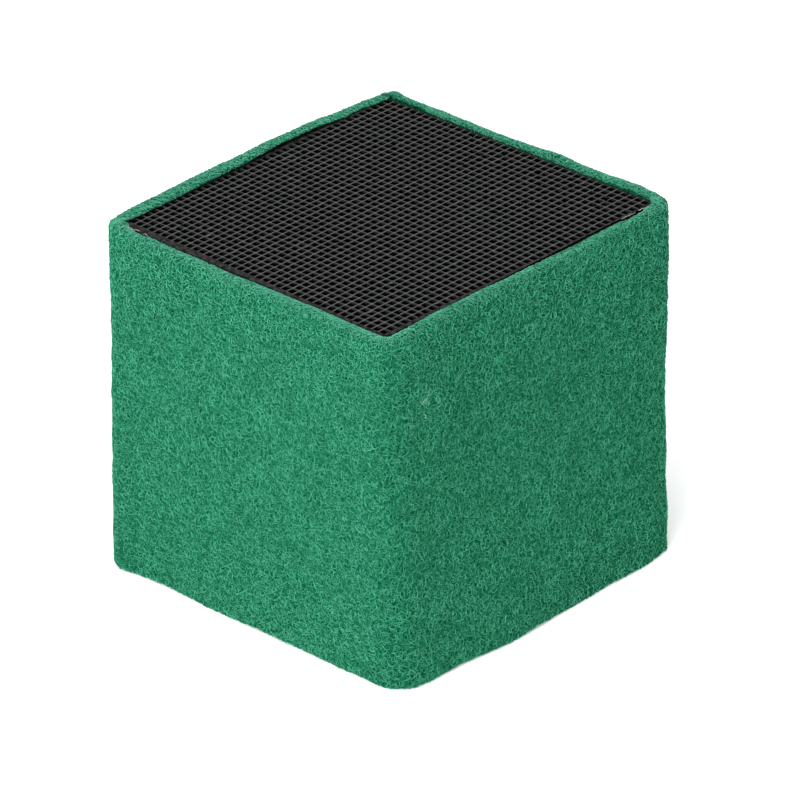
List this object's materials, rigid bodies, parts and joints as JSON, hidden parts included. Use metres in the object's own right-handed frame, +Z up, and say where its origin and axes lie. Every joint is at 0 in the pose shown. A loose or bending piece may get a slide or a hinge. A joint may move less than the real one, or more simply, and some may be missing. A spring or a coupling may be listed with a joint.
{
  "type": "aquarium filter cube",
  "caption": "Cube-shaped water filter block: a black honeycomb carbon core, open top to bottom, wrapped on its four sides in green fibre felt.",
  "frame": {"origin": "centre of the base, on the surface the cube stands on", "axes": "+Z up along the open cells; the front side faces -Y and the right side faces +X; the felt's seam is at the -X +Y corner"},
  "size_m": [0.1076, 0.1076, 0.1025],
  "materials": {
    "activated_carbon": "matt, dry, unglazed",
    "green_felt": "matt needle-punched fibre",
    "hot_melt_glue": "waxy, slightly clear"
  },
  "bodies": {
    "root": {"carbon_block": "activated_carbon", "felt_wrap": "green_felt", "seam_glue_bead": "hot_melt_glue", "glue_strip_front": "hot_melt_glue", "glue_strip_right": "hot_melt_glue", "glue_strip_rear": "hot_melt_glue", "glue_strip_left": "hot_melt_glue"}
  },
  "joints": []
}
